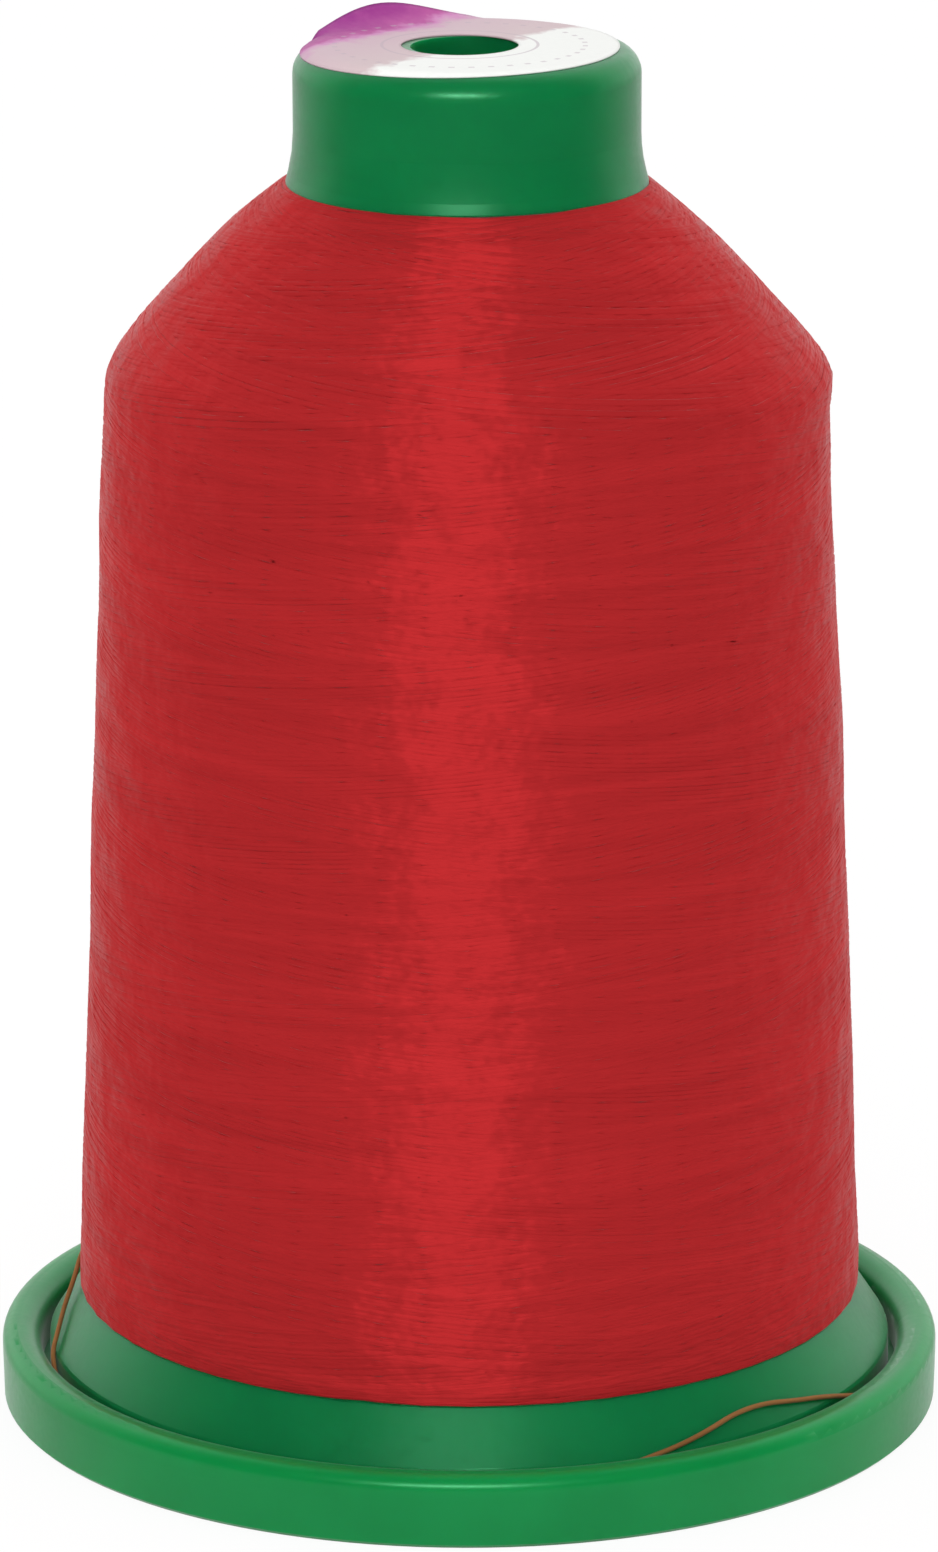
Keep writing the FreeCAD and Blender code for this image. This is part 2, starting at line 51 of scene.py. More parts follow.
# Camera: pitch and roll in degrees, lens in millimetres, shift as a share of the frame.
CAMERA_PLACE = (0.0, -0.6073, 0.2205)
CAMERA_PITCH = 15.563
CAMERA_ROLL = -0.0997
CAMERA_LENS = 182.72
CAMERA_SHIFT = 0.00053

# The wound thread's outside, from the flange up to the neck: radius and height.
WINDING_PROFILE = [
    (0.03105, 0.00935),
    (0.03150, 0.00920),
    (0.03168, 0.01000),
    (0.03155, 0.01360),
    (0.03128, 0.02200),
    (0.03067, 0.03400),
    (0.03023, 0.04800),
    (0.02955, 0.06200),
    (0.02906, 0.07200),
    (0.02882, 0.07900),
    (0.02876, 0.08330),
    (0.02837, 0.08564),
    (0.02663, 0.08775),
    (0.02295, 0.09185),
    (0.01925, 0.09580),
    (0.01480, 0.09958),
    (0.01429, 0.09982),
]
# How far it stands out at its left and at its right, in millimetres, by the share of its profile.
WINDING_SIDES = [
    (0.000, 0.00, 0.00),
    (0.030, -0.03, 0.08),
    (0.100, 0.02, -0.07),
    (0.200, -0.04, 0.09),
    (0.300, -0.13, 0.07),
    (0.400, 0.00, 0.00),
    (0.500, 0.00, 0.07),
    (0.580, -0.03, -0.08),
    (0.660, 0.22, -0.16),
    (0.720, 0.03, -0.02),
    (0.755, 0.00, -0.13),
    (0.780, 0.00, 0.23),
    (0.800, -0.06, -0.08),
    (0.830, 0.08, -0.04),
    (0.880, 0.08, -0.09),
    (0.940, 0.22, -0.19),
    (1.000, 0.00, 0.00),
]
# The inside of the winding against the core, at its upper and its lower end.
CORE_TOP = (0.01432, 0.0996)
CORE_BOTTOM = (0.01806, 0.0101)

# The visible thread, and how far the mass under it lies below its outside.
THREAD_WIDTH = 0.00042
THREAD_HEIGHT = 0.00013
MASS_DEPTH = 0.00006
# A period is the way up to the neck and back to the flange.
SIDES_PER_TURN = 56
PERIODS = 61
TURNS_PER_PERIOD = 9 + 42 / PERIODS
# How sudden the thread turns back at the neck and the flange: 1 is at once.
REVERSAL = 0.997
# How near it comes to both ends of the winding, as a share of its half length.
THREAD_REACH = 0.988
REACH_SPREAD = 0.010
# How far it strays along the winding.
THREAD_STRAY = 0.00010
# How far it stands out: in broad waves, where rising turns cross falling ones, and by turns.
WAVE_HEIGHT = 0.00006
CROSSING_HEIGHT = 0.00002
TURN_HEIGHT = 0.000006
# Both its ends go under the other turns, this deep and within this share of a turn.
END_DEPTH = 0.0006
END_TURNS = 0.2
# Its section: across in half widths, and outward in half heights.
THREAD_SECTION = [(-1.0, -0.2), (-0.55, 0.8), (0.55, 0.8), (1.0, -0.2), (0.0, -1.0)]

# Route of the free end of the thread: azimuth in degrees, radius and height.
TAIL_ROUTE = [
    (171.0, 0.03105, 0.01160),
    (177.0, 0.03165, 0.01075),
    (181.3, 0.03210, 0.00930),
    (184.8, 0.03288, 0.00780),
    (187.8, 0.03336, 0.00704),
    (190.2, 0.03384, 0.00626),
    (192.5, 0.03442, 0.00536),
    (194.3, 0.03453, 0.00435),
    (197.4, 0.03454, 0.00345),
    (207.6, 0.03463, 0.00315),
    (219.8, 0.03464, 0.00325),
    (232.0, 0.03464, 0.00325),
    (244.0, 0.03464, 0.00337),
    (256.0, 0.03464, 0.00325),
    (268.0, 0.03463, 0.00340),
    (279.0, 0.03457, 0.00346),
    (287.0, 0.03451, 0.00405),
    (293.0, 0.03453, 0.00502),
    (298.5, 0.03428, 0.00556),
    (303.5, 0.03388, 0.00614),
    (308.5, 0.03348, 0.00682),
    (314.0, 0.03346, 0.00686),
    (319.5, 0.03378, 0.00628),
    (324.8, 0.03416, 0.00578),
    (330.0, 0.03453, 0.00498),
    (335.0, 0.03453, 0.00405),
    (341.0, 0.03453, 0.00342),
    (348.0, 0.03451, 0.00300),
]
TAIL_DIAMETER = 0.0004

# The top of the core's head: height, radius of its flat and round of its edge.
HEAD_TOP = 0.11045
HEAD_FLAT = 0.01165
HEAD_ROUND = 0.0020
# The paper disc: its middle, radii, thickness, and the bend of its lifted edge.
LABEL_MIDDLE = -0.00055
LABEL_RADIUS = 0.0125
LABEL_HOLE = 0.0046
LABEL_THICKNESS = 0.00014
LABEL_BEND_START = 0.0095
LABEL_BEND_RADIUS = 0.0039
LABEL_BEND_AZIMUTH = 120.0
# How high it lies on the head, and the lift over which its pressed edge comes free.
LABEL_GAP = 0.00001
LABEL_FREE_LIFT = 0.00008
# Its fields of print across it towards this azimuth: share of the width and display colour. The last
# stop darkens the purple over the lifted edge, as painted shade of its curl.
LABEL_FIELDS_AZIMUTH = 138.0
LABEL_PRINT_AND_CURL_SHADE = [
    (0.42, (231, 232, 229)),
    (0.47, (200, 180, 183)),
    (0.76, (198, 172, 182)),
    (0.83, (198, 132, 180)),
    (0.87, (178, 84, 150)),
    (1.00, (150, 50, 134)),
]
# The line round its hole and its ring of dots, as radius and half width, and their ink.
LABEL_LINE = (0.0061, 0.00012)
LABEL_DOTS = (0.0098, 0.0002)
LABEL_DOT_COUNT = 40
INK_COLOR = (178, 160, 172)
INK_STRENGTH = 0.55

# Dark and light display colours of the other materials.
CORE_GREENS = ((4, 106, 55), (8, 116, 62))
# The foot's greens are lighter than the core's: painted light standing in for the floor's bounce on
# the foot, on the same green plastic.
FOOT_GREENS_PAINTED_LIGHTER = ((2, 120, 56), (8, 130, 64))
THREAD_REDS = ((176, 39, 42), (198, 46, 49))
THREAD_END_BROWNS = ((142, 98, 58), (168, 120, 74))

# Soft light from all round: its strength in front of the spool, behind it and added from above.
AMBIENT_FRONT = 0.65
AMBIENT_BACK = 0.92
AMBIENT_ABOVE = 0.34
# The floor's brightness in mirrored rays, close to the spool and behind it.
FLOOR_NEAR = 0.65
FLOOR_BEHIND = 0.6
FLOOR_HALF = 3.0
FLOOR_COLOR = (0.95, 0.95, 0.95, 1.0)
LAMP_AIM = (0.0, 0.0, 0.055)


def around(azimuth, radius, height):
    """Point at this azimuth in degrees, radius and height."""
    angle = math.radians(azimuth)
    return (radius * math.cos(angle), radius * math.sin(angle), height)


def make_camera():
    data = bpy.data.cameras.new("camera")
    data.lens = CAMERA_LENS
    data.shift_x = CAMERA_SHIFT
    camera = bpy.data.objects.new("camera", data)
    bpy.context.collection.objects.link(camera)
    camera.matrix_world = (
        Matrix.Translation(CAMERA_PLACE)
        @ Matrix.Rotation(math.radians(90 - CAMERA_PITCH), 4, "X")
        @ Matrix.Rotation(math.radians(CAMERA_ROLL), 4, "Z")
    )
    bpy.context.scene.camera = camera


def make_tail(material):
    """Free end of the thread, as one smooth spline through the gap inside the lip."""
    curve = bpy.data.curves.new("thread_end", "CURVE")
    curve.dimensions = "3D"
    curve.bevel_depth = TAIL_DIAMETER / 2
    curve.bevel_resolution = 3
    curve.resolution_u = 12
    curve.use_fill_caps = True
    spline = curve.splines.new("NURBS")
    spline.points.add(len(TAIL_ROUTE) - 1)
    for point, place in zip(spline.points, TAIL_ROUTE):
        point.co = (*around(*place), 1.0)
    spline.order_u = 3
    spline.use_endpoint_u = True
    curve.materials.append(material)
    tail = bpy.data.objects.new("thread_end", curve)
    bpy.context.collection.objects.link(tail)
    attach(tail, "spool")
    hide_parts("thread_tail")


class Nodes:
    """Short calls for the nodes and links of one node tree."""

    def __init__(self, tree):
        self.tree = tree

    def add(self, kind, **settings):
        node = self.tree.nodes.new(kind)
        for name, value in settings.items():
            setattr(node, name, value)
        return node

    def link(self, out, into):
        self.tree.links.new(out, into)

    def math(self, operation, *values):
        node = self.add("ShaderNodeMath", operation=operation)
        self.fill(node, values)
        return node.outputs[0]

    def fill(self, node, values):
        for socket, value in zip(node.inputs, values):
            if isinstance(value, bpy.types.NodeSocket):
                self.link(value, socket)
            else:
                socket.default_value = value

    def noise(self, vector, scale, detail=2.0, roughness=0.5):
        node = self.add("ShaderNodeTexNoise")
        self.link(vector, node.inputs["Vector"])
        node.inputs["Scale"].default_value = scale
        node.inputs["Detail"].default_value = detail
        node.inputs["Roughness"].default_value = roughness
        return node.outputs["Fac"]

    def stretched(self, vector, scale, tilt=(0.0, 0.0, 0.0)):
        node = self.add("ShaderNodeMapping")
        self.link(vector, node.inputs["Vector"])
        node.inputs["Rotation"].default_value = [math.radians(a) for a in tilt]
        node.inputs["Scale"].default_value = scale
        return node.outputs["Vector"]

    def spread(self, value, low, high, to_low, to_high):
        """Maps the range from low to high to another range, held at its ends."""
        node = self.add("ShaderNodeMapRange")
        self.fill(node, (value, low, high, to_low, to_high))
        return node.outputs["Result"]

    def ramp(self, value, stops):
        node = self.add("ShaderNodeValToRGB")
        self.link(value, node.inputs["Fac"])
        elements = node.color_ramp.elements
        while len(elements) < len(stops):
            elements.new(1.0)
        for element, (place, color) in zip(elements, stops):
            element.position = place
            element.color = (*color, 1.0)
        return node.outputs["Color"]

    def mix(self, factor, one, two, how="MIX"):
        node = self.add("ShaderNodeMix", data_type="RGBA", blend_type=how)
        for name, value in (("Factor_Float", factor), ("A_Color", one), ("B_Color", two)):
            socket = next(s for s in node.inputs if s.identifier == name)
            if isinstance(value, bpy.types.NodeSocket):
                self.link(value, socket)
            elif name == "Factor_Float":
                socket.default_value = value
            else:
                socket.default_value = (*value, 1.0)
        return next(s for s in node.outputs if s.identifier == "Result_Color")

    def bump(self, height, distance, strength=1.0, normal=None):
        node = self.add("ShaderNodeBump")
        self.link(height, node.inputs["Height"])
        node.inputs["Distance"].default_value = distance
        node.inputs["Strength"].default_value = strength
        if normal is not None:
            self.link(normal, node.inputs["Normal"])
        return node.outputs["Normal"]


def new_material(name):
    """A material with its shader and its object coordinates."""
    material = bpy.data.materials.new(name)
    material.use_nodes = True
    nodes = Nodes(material.node_tree)
    shader = next(n for n in nodes.tree.nodes if n.type == "BSDF_PRINCIPLED")
    place = nodes.add("ShaderNodeTexCoord").outputs["Object"]
    return material, nodes, shader, place


def srgb(red, green, blue):
    """Linear colour from its display values, 0 to 255."""
    def linear(v):
        v /= 255
        return v / 12.92 if v <= 0.04045 else ((v + 0.055) / 1.055) ** 2.4
    return tuple(linear(v) for v in (red, green, blue))


def set_sockets(shader, values):
    """Sets the shader's own sockets by their names."""
    for name, value in values.items():
        shader.inputs[name].default_value = value


def dark_to_light(nodes, value, shades):
    """Goes from the first shade to the second over the middle of the value's range."""
    dark, light = (srgb(*shade) for shade in shades)
    return nodes.ramp(value, [(0.3, dark), (0.7, light)])


def green_plastic(name, shades):
    """Satin moulded plastic, translucent, a little cloudy, with a slightly uneven surface."""
    material, nodes, shader, place = new_material(name)
    color = dark_to_light(nodes, nodes.noise(place, 90.0, 3.0), shades)
    specks = nodes.noise(place, 1800.0, 2.0)
    nodes.link(color, shader.inputs["Base Color"])
    nodes.link(nodes.spread(specks, 0.3, 0.7, 0.28, 0.34), shader.inputs["Roughness"])
    waves = nodes.bump(nodes.noise(place, 120.0, 2.0), 0.00004, 0.3)
    nodes.link(nodes.bump(specks, 0.000004, 0.4, waves), shader.inputs["Normal"])
    set_sockets(shader, {
        "Sheen Weight": 0.2,
        "Sheen Roughness": 0.25,
        "Subsurface Weight": 0.9,
        "Subsurface Radius": (0.5, 1.0, 0.7),
        "Subsurface Scale": 0.004,
        "Specular IOR Level": 0.8,
        "Specular Tint": (0.3, 1.0, 0.55, 1.0),
    })
    return material


def printed_paper():
    """Coated paper: fields of printed colour, darker purple over the lifted edge as painted shade of
    its curl, a line round the hole and a ring of dots.
    """
    material, nodes, shader, place = new_material("printed_paper")
    fibres = nodes.noise(place, 2600.0, 4.0, 0.7)
    cloudy = nodes.noise(place, 420.0, 3.0, 0.6)
    middle = nodes.add("ShaderNodeVectorMath", operation="SUBTRACT")
    nodes.link(place, middle.inputs[0])
    middle.inputs[1].default_value = (LABEL_MIDDLE, 0.0, 0.0)
    # X of the turned place is the distance across the disc towards its magenta edge
    turned = nodes.stretched(middle.outputs[0], (1.0, 1.0, 1.0), (0.0, 0.0, -LABEL_FIELDS_AZIMUTH))
    apart = nodes.add("ShaderNodeSeparateXYZ")
    nodes.link(turned, apart.inputs[0])
    x, y = apart.outputs["X"], apart.outputs["Y"]
    across = nodes.math("MULTIPLY_ADD", nodes.math("SUBTRACT", cloudy, 0.5), 0.005, x)
    # The ramp's darker purple over the lifted edge is painted shade of the curl, laid over the
    # magenta print.
    fields = nodes.ramp(nodes.spread(across, -LABEL_RADIUS, LABEL_RADIUS, 0.0, 1.0),
                        [(share, srgb(*shade)) for share, shade in LABEL_PRINT_AND_CURL_SHADE])
    squares = nodes.math("ADD", nodes.math("MULTIPLY", x, x), nodes.math("MULTIPLY", y, y))
    radius = nodes.math("SQRT", squares)
    turn = nodes.math("ARCTAN2", y, x)
    line = nodes.math("COMPARE", radius, *LABEL_LINE)
    beats = nodes.math("SINE", nodes.math("MULTIPLY", turn, LABEL_DOT_COUNT))
    dots = nodes.math("MULTIPLY", nodes.math("COMPARE", radius, *LABEL_DOTS),
                      nodes.math("GREATER_THAN", beats, 0.55))
    ink = nodes.math("MULTIPLY", nodes.math("MAXIMUM", line, dots), INK_STRENGTH)
    color = nodes.mix(ink, fields, srgb(*INK_COLOR))
    shade = nodes.spread(fibres, 0.3, 0.7, 0.95, 1.0)
    grey = nodes.add("ShaderNodeCombineColor")
    for socket in grey.inputs[:3]:
        nodes.link(shade, socket)
    nodes.link(nodes.mix(1.0, color, grey.outputs[0], "MULTIPLY"), shader.inputs["Base Color"])
    nodes.link(nodes.spread(fibres, 0.3, 0.7, 0.4, 0.55), shader.inputs["Roughness"])
    nodes.link(nodes.bump(fibres, 0.000005, 0.5), shader.inputs["Normal"])
    shader.inputs["Specular IOR Level"].default_value = 0.15
    return material


def dyed_thread(name, shades, direction):
    """Lustrous filament: streaks along the turns, and a patchy shine that follows the thread."""
    material, nodes, shader, place = new_material(name)
    rising = nodes.stretched(place, (30.0, 30.0, 1100.0), (3.0, 5.0, 0.0))
    falling = nodes.stretched(place, (25.0, 25.0, 700.0), (-4.0, -6.0, 0.0))
    along = nodes.noise(rising, 1.0, 3.0, 0.6)
    across = nodes.noise(falling, 1.0, 3.0, 0.6)
    streaks = nodes.math("MULTIPLY_ADD", along, 0.5, nodes.math("MULTIPLY", across, 0.5))
    nodes.link(dark_to_light(nodes, streaks, shades), shader.inputs["Base Color"])
    nodes.link(nodes.spread(along, 0.3, 0.7, 0.5, 0.6), shader.inputs["Roughness"])
    fibres = nodes.noise(nodes.stretched(place, (400.0, 400.0, 9000.0)), 1.0, 2.0)
    patchy = nodes.stretched(place, (170.0, 170.0, 300.0), (8.0, -6.0, 0.0))
    patches = nodes.bump(nodes.noise(patchy, 1.0, 3.0), 0.0012, 0.6)
    nodes.link(nodes.bump(fibres, 0.00002, 0.5, patches), shader.inputs["Normal"])
    nodes.link(nodes.add("ShaderNodeTangent", **direction).outputs[0], shader.inputs["Tangent"])
    set_sockets(shader, {
        "Anisotropic": 0.95,
        "Anisotropic Rotation": 0.25,
        "Metallic": 0.42,
        "Sheen Weight": 0.1,
        "Sheen Roughness": 0.3,
        "Specular IOR Level": 0.1,
        "Specular Tint": (1.0, 0.3, 0.3, 1.0),
    })
    return material


def cut_corners(points, times):
    """The line through these points with its corners cut a quarter in, over and over."""
    for _ in range(times):
        near = points[:-1] * 0.75 + points[1:] * 0.25
        far = points[:-1] * 0.25 + points[1:] * 0.75
        between = np.stack([near, far], 1).reshape(-1, 2)
        points = np.vstack([points[:1], between, points[-1:]])
    return points


class Profile:
    """The winding's outside as radius, height and outward direction by the share of its length."""

    def __init__(self, points):
        self.line = cut_corners(np.array(points), 4)
        steps = np.hypot(*np.diff(self.line, axis=0).T)
        self.shares = np.concatenate([[0.0], np.cumsum(steps)]) / steps.sum()
        self.length = steps.sum()

    def at(self, share):
        radius = np.interp(share, self.shares, self.line[:, 0])
        height = np.interp(share, self.shares, self.line[:, 1])
        return radius, height

    def outward(self, share):
        """Outward direction across the profile, as its radial and upright parts."""
        r0, z0 = self.at(np.clip(share - 0.004, 0, 1))
        r1, z1 = self.at(np.clip(share + 0.004, 0, 1))
        length = np.hypot(r1 - r0, z1 - z0)
        return (z1 - z0) / length, (r0 - r1) / length


def ripple(rng, angle, share, count, waves_round, waves_up):
    """Smooth uneven field over the winding, about -1 to 1, the same all the way round."""
    field = np.zeros_like(angle)
    for _ in range(count):
        turns = rng.integers(-waves_round, waves_round + 1)
        rise = rng.uniform(0.3, 1.0) * waves_up
        field += np.sin(turns * angle + 2 * np.pi * rise * share + rng.uniform(0, 2 * np.pi))
    return field / math.sqrt(count)


def wander(rng, turns, count, shortest, longest):
    """Smooth uneven value along the thread, about -1 to 1."""
    value = np.zeros_like(turns)
    for _ in range(count):
        period = rng.uniform(shortest, longest)
        value += np.sin(2 * np.pi * turns / period + rng.uniform(0, 2 * np.pi))
    return value / math.sqrt(count)


def uneven(angle, share):
    """How far the winding stands out or in from its even shape, in metres."""
    shares, left, right = np.array(WINDING_SIDES).T
    side = np.cos(angle)
    bulge = np.interp(share, shares, left) * np.clip(-side, 0, 1) ** 2
    bulge += np.interp(share, shares, right) * np.clip(side, 0, 1) ** 2
    waves = ripple(np.random.default_rng(5), angle, share, 7, 3, 7.0)
    return MILLIMETRE * bulge + WAVE_HEIGHT * waves


def thread_line(profile):
    """The one thread that climbs to the neck and back to the flange again and again."""
    turns = np.arange(int(PERIODS * TURNS_PER_PERIOD * SIDES_PER_TURN) + 1) / SIDES_PER_TURN
    sweep = 2 * np.pi * turns / TURNS_PER_PERIOD - np.pi / 2
    wave = np.arcsin(REVERSAL * np.sin(sweep)) / math.asin(REVERSAL)
    rising = np.tanh(3 * np.cos(sweep))
    rng = np.random.default_rng(11)
    stray = THREAD_STRAY / profile.length * wander(rng, turns, 6, 0.7, 5.0)
    reach = THREAD_REACH + REACH_SPREAD * wander(rng, turns, 4, 17.0, 60.0)
    share = np.clip(0.5 + 0.5 * wave * reach + stray, 0.001, 0.999)
    angle = 2 * np.pi * turns
    over = np.clip(1.4 * ripple(rng, angle, share, 9, 5, 16.0), -1, 1)
    proud = TURN_HEIGHT * wander(rng, turns, 5, 6.0, 40.0)
    depth = -THREAD_HEIGHT / 2 + CROSSING_HEIGHT * rising * over + proud + uneven(angle, share)
    to_end = np.minimum(turns, turns[-1] - turns)
    depth -= END_DEPTH * np.clip(1 - to_end / END_TURNS, 0, 1)
    return angle, share, depth


def strand(angle, share, depth, profile):
    """Points round the thread at each step of its line."""
    radius, height = profile.at(share)
    out_r, out_z = profile.outward(share)
    radius = radius + out_r * depth
    height = height + out_z * depth
    rings = []
    for across, outward in THREAD_SECTION:
        side = across * THREAD_WIDTH / 2
        proud = outward * THREAD_HEIGHT / 2
        r = radius + out_r * proud - out_z * side
        z = height + out_z * proud + out_r * side
        rings.append(np.stack([r * np.cos(angle), r * np.sin(angle), z], 1))
    return np.stack(rings, 1)


def mesh_object(name, vertices, faces, material):
    mesh = bpy.data.meshes.new(name)
    mesh.from_pydata(vertices.tolist(), [], faces)
    mesh.polygons.foreach_set("use_smooth", [True] * len(mesh.polygons))
    mesh.materials.append(material)
    mesh.update()
    thing = bpy.data.objects.new(name, mesh)
    bpy.context.collection.objects.link(thing)
    return thing


def tube_faces(rings, sides):
    """Faces of a closed tube with flat ends."""
    faces = [list(range(sides))]
    for i in range(rings - 1):
        for j in range(sides):
            k = (j + 1) % sides
            faces.append([i * sides + k, i * sides + j, (i + 1) * sides + j, (i + 1) * sides + k])
    faces.append(list(range(rings * sides - 1, (rings - 1) * sides - 1, -1)))
    return faces


def ring_faces(count, size):
    """Faces between closed loops round an axis, the last loop joined to the first."""
    faces = []
    for i in range(count):
        for j in range(size):
            ring, k = (i + 1) % count, (j + 1) % size
            faces.append([i * size + j, ring * size + j, ring * size + k, i * size + k])
    return faces


def lay_along(thing, corners, caps):
    """Coordinates along and across the thread at each corner, for the direction of its shine."""
    ends = np.zeros((caps, 2))
    values = np.vstack([ends, corners.reshape(-1, 2), ends])
    thing.data.uv_layers.new(name="along").data.foreach_set("uv", values.ravel())


def make_strands(profile, material):
    """The visible thread as two unbroken tubes, the second starting where the first ends."""
    rings = strand(*thread_line(profile), profile)
    half = len(rings) // 2
    sides = rings.shape[1]
    lengths = {"wound_thread_inner": rings[:half + 1], "wound_thread_outer": rings[half:]}
    for name, part in lengths.items():
        piece = mesh_object(name, part.reshape(-1, 3), tube_faces(len(part), sides), material)
        ring, side = np.meshgrid(np.arange(len(part) - 1), np.arange(sides), indexing="ij")
        along = np.stack([ring, ring, ring + 1, ring + 1], 2)
        across = np.stack([side + 1, side, side, side + 1], 2)
        lay_along(piece, np.stack([along, across], 3), sides)
        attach(piece, "spool")
        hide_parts("outer_turns")


def make_thread_mass(profile, material):
    """The thread under the visible turns, as a ring round the core."""
    around_count, up_count = 128, 150
    turns = np.arange(around_count) * 2 * np.pi / around_count
    share, angle = np.meshgrid(np.linspace(0, 1, up_count), turns)
    radius, height = profile.at(share)
    out_r, out_z = profile.outward(share)
    depth = uneven(angle, share) - MASS_DEPTH
    radius, height = radius + out_r * depth, height + out_z * depth
    ends = np.ones((around_count, 1))
    radius = np.hstack([radius, ends * CORE_TOP[0], ends * CORE_BOTTOM[0]])
    height = np.hstack([height, ends * CORE_TOP[1], ends * CORE_BOTTOM[1]])
    angle = np.hstack([angle, angle[:, :2]])
    loops = np.stack([radius * np.cos(angle), radius * np.sin(angle), height], 2)
    mass = mesh_object("thread_mass", loops.reshape(-1, 3), ring_faces(*loops.shape[:2]), material)
    ring, row = np.meshgrid(*(np.arange(n) for n in loops.shape[:2]), indexing="ij")
    along = np.stack([ring, ring + 1, ring + 1, ring], 2)
    across = np.stack([row, row, row + 1, row + 1], 2)
    lay_along(mass, np.stack([along, across], 3), 0)
    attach(mass, "spool")
    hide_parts("thread_winding")


def label_height(x, y):
    """Height of the disc's lower face: one edge lifted, the rest pressed to the head's round."""
    azimuth = math.radians(LABEL_BEND_AZIMUTH)
    beyond = (x - LABEL_MIDDLE) * math.cos(azimuth) + y * math.sin(azimuth) - LABEL_BEND_START
    beyond = np.clip(beyond, 0.0, LABEL_BEND_RADIUS)
    lift = LABEL_BEND_RADIUS - np.sqrt(LABEL_BEND_RADIUS ** 2 - beyond ** 2)
    over = np.maximum(np.hypot(x, y) - HEAD_FLAT, 0.0)
    drop = HEAD_ROUND - np.sqrt(HEAD_ROUND ** 2 - over ** 2)
    held = np.clip(1 - lift / LABEL_FREE_LIFT, 0, 1)
    return HEAD_TOP + LABEL_GAP + lift - drop * held


def make_label(material):
    """The paper disc as a thin ring with an upper and a lower face."""
    around_count, out_count = 120, 26
    turn, reach = np.meshgrid(np.arange(around_count) * 2 * np.pi / around_count,
                              np.linspace(LABEL_HOLE, LABEL_RADIUS, out_count), indexing="ij")
    x = LABEL_MIDDLE + reach * np.cos(turn)
    y = reach * np.sin(turn)
    low = label_height(x, y)
    under = np.stack([x, y, low], 2)[:, ::-1]
    upper = np.stack([x, y, low + LABEL_THICKNESS], 2)
    loops = np.concatenate([upper, under], 1)
    disc = mesh_object("paper_disc", loops.reshape(-1, 3), ring_faces(*loops.shape[:2]), material)
    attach(disc, "spool")
    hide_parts("top_label")


def dress(node, material):
    """Gives a CAD piece its material."""
    for slot in node.material_slots:
        slot.material = material


def seen_rays(nodes):
    """Whether a camera ray looks, and whether that ray or a mirrored or refracted one does."""
    rays = nodes.add("ShaderNodeLightPath").outputs
    mirrored = nodes.math("MAXIMUM", rays["Is Glossy Ray"], rays["Is Transmission Ray"])
    return rays["Is Camera Ray"], nodes.math("MAXIMUM", rays["Is Camera Ray"], mirrored)


def make_world():
    """White to the eye, dark at the front in reflections, and soft light from all round."""
    world = bpy.data.worlds.new("studio")
    world.use_nodes = True
    bpy.context.scene.world = world
    nodes = Nodes(world.node_tree)
    nodes.tree.nodes.clear()
    camera, seen = seen_rays(nodes)
    way = nodes.add("ShaderNodeSeparateXYZ")
    nodes.link(nodes.add("ShaderNodeTexCoord").outputs["Generated"], way.inputs[0])
    mirrored = nodes.spread(way.outputs["Y"], -0.1, 0.5, 0.0, 1.0)
    above = nodes.math("MULTIPLY", nodes.math("MAXIMUM", way.outputs["Z"], 0.0), AMBIENT_ABOVE)
    level = nodes.spread(way.outputs["Y"], -1.0, 0.6, AMBIENT_FRONT, AMBIENT_BACK)
    ambient = nodes.math("ADD", level, above)
    background = nodes.add("ShaderNodeBackground")
    background.inputs["Color"].default_value = (1.0, 1.0, 1.0, 1.0)
    nodes.link(nodes.spread(seen, 0.0, 1.0, ambient, nodes.math("MAXIMUM", camera, mirrored)),
               background.inputs["Strength"])
    out = nodes.add("ShaderNodeOutputWorld")
    nodes.link(background.outputs[0], out.inputs["Surface"])


def make_lamp(name, azimuth, elevation, distance, size, power):
    """Soft lamp, as wide and tall as stated, that looks at the middle of the spool."""
    data = bpy.data.lights.new(name, "AREA")
    data.shape = "RECTANGLE"
    data.size, data.size_y = size
    data.energy = power
    lamp = bpy.data.objects.new(name, data)
    bpy.context.collection.objects.link(lamp)
    lamp.matrix_world = (
        Matrix.Translation(LAMP_AIM)
        @ Matrix.Rotation(math.radians(azimuth + 90), 4, "Z")
        @ Matrix.Rotation(math.radians(90 - elevation), 4, "X")
        @ Matrix.Translation((0.0, 0.0, distance))
    )


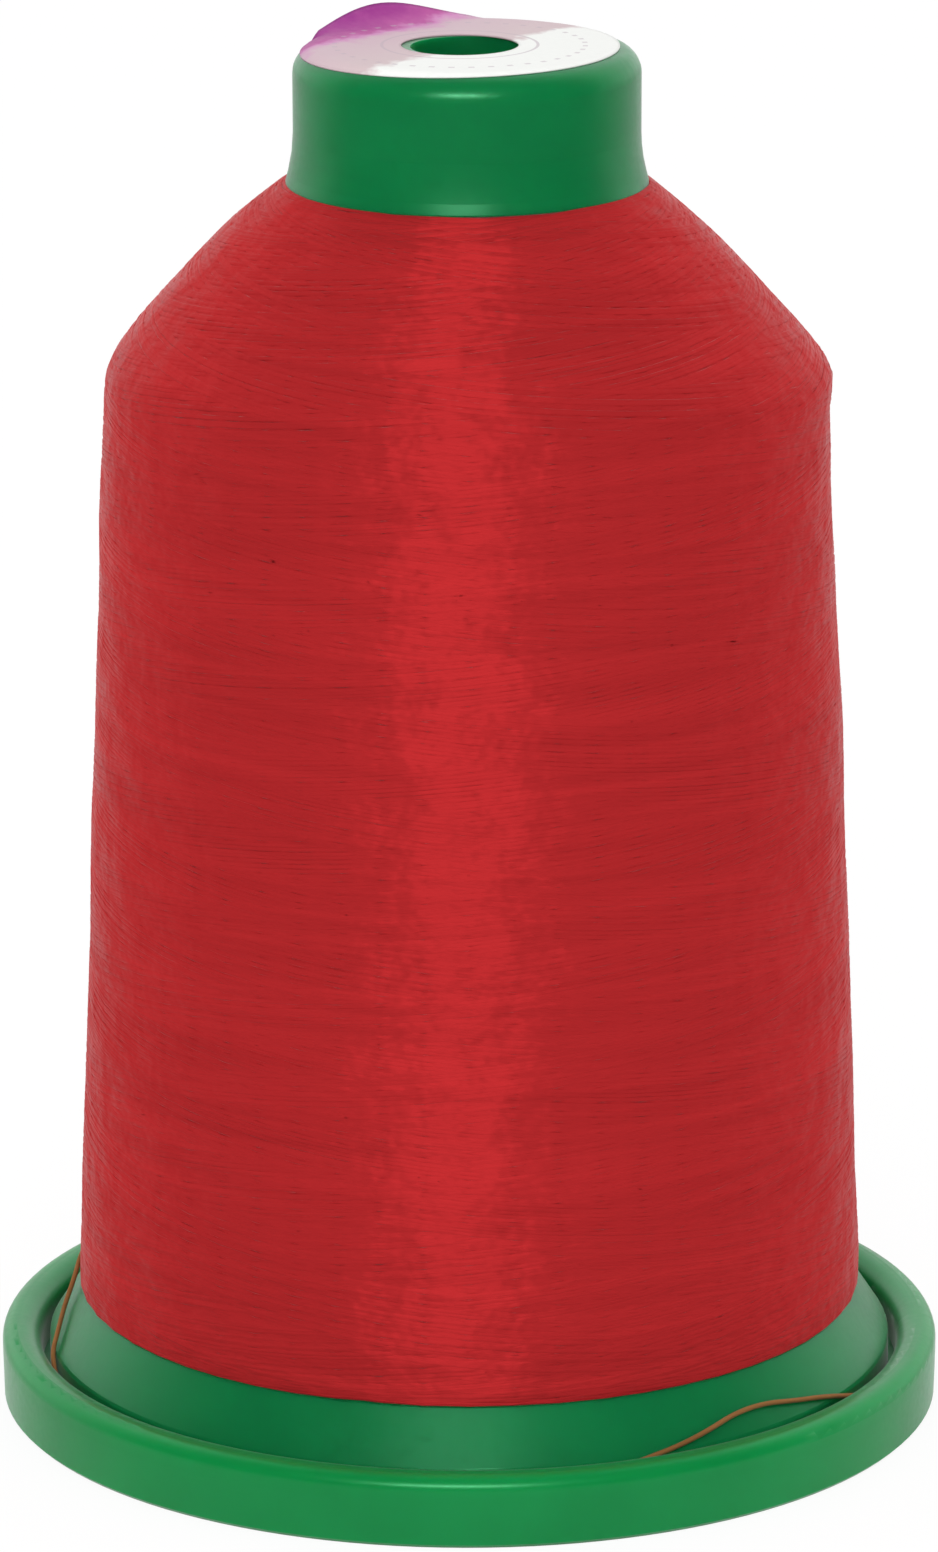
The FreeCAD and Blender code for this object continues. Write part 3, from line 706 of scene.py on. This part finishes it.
def floor_material():
    """White to the eye, with a faint shadow. Reflections show it close to the spool and behind it."""
    material = bpy.data.materials.new("floor")
    material.use_nodes = True
    nodes = Nodes(material.node_tree)
    nodes.tree.nodes.clear()
    camera, seen = seen_rays(nodes)
    place = nodes.add("ShaderNodeTexCoord").outputs["Object"]
    apart = nodes.add("ShaderNodeSeparateXYZ")
    away = nodes.add("ShaderNodeVectorMath", operation="LENGTH")
    for node in (apart, away):
        nodes.link(place, node.inputs[0])
    near = nodes.spread(away.outputs["Value"], 0.05, 0.25, FLOOR_NEAR, 0.0)
    behind = nodes.spread(apart.outputs["Y"], -0.05, 0.3, 0.0, FLOOR_BEHIND)
    mirrored = nodes.math("MAXIMUM", near, behind)
    lit = nodes.add("ShaderNodeBsdfDiffuse")
    lit.inputs["Color"].default_value = FLOOR_COLOR
    white = nodes.add("ShaderNodeEmission")
    nodes.link(nodes.math("MAXIMUM", camera, mirrored), white.inputs["Strength"])
    blend = nodes.add("ShaderNodeMixShader")
    nodes.link(nodes.math("MULTIPLY", seen, 0.9), blend.inputs[0])
    nodes.link(lit.outputs[0], blend.inputs[1])
    nodes.link(white.outputs[0], blend.inputs[2])
    out = nodes.add("ShaderNodeOutputMaterial")
    nodes.link(blend.outputs[0], out.inputs["Surface"])
    return material


def make_floor():
    mesh = bpy.data.meshes.new("floor")
    corners = [(-FLOOR_HALF, -FLOOR_HALF, 0), (FLOOR_HALF, -FLOOR_HALF, 0),
               (FLOOR_HALF, FLOOR_HALF, 0), (-FLOOR_HALF, FLOOR_HALF, 0)]
    mesh.from_pydata(corners, [], [(0, 1, 2, 3)])
    mesh.materials.append(floor_material())
    floor = bpy.data.objects.new("floor", mesh)
    bpy.context.collection.objects.link(floor)


def main():
    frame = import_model()
    scene = bpy.context.scene
    scene.view_settings.view_transform = "Standard"
    make_camera()
    thread = dyed_thread("thread", THREAD_REDS, {"direction_type": "UV_MAP", "uv_map": "along"})
    loose_thread = dyed_thread("thread_end", THREAD_END_BROWNS,
                               {"direction_type": "RADIAL", "axis": "Z"})
    make_tail(loose_thread)
    make_world()
    make_floor()
    make_lamp("softbox", azimuth=-94, elevation=29, distance=0.9, size=(0.42, 0.1), power=2.9)
    dress(frame["nodes"]["spool_core"], green_plastic("core_plastic", CORE_GREENS))
    # The foot gets a lighter copy of the same plastic: painted light for the floor's bounce.
    dress(frame["nodes"]["snap_base"], green_plastic("foot_plastic_painted_lighter", FOOT_GREENS_PAINTED_LIGHTER))
    make_label(printed_paper())
    profile = Profile(WINDING_PROFILE)
    make_thread_mass(profile, thread)
    make_strands(profile, thread)


main()
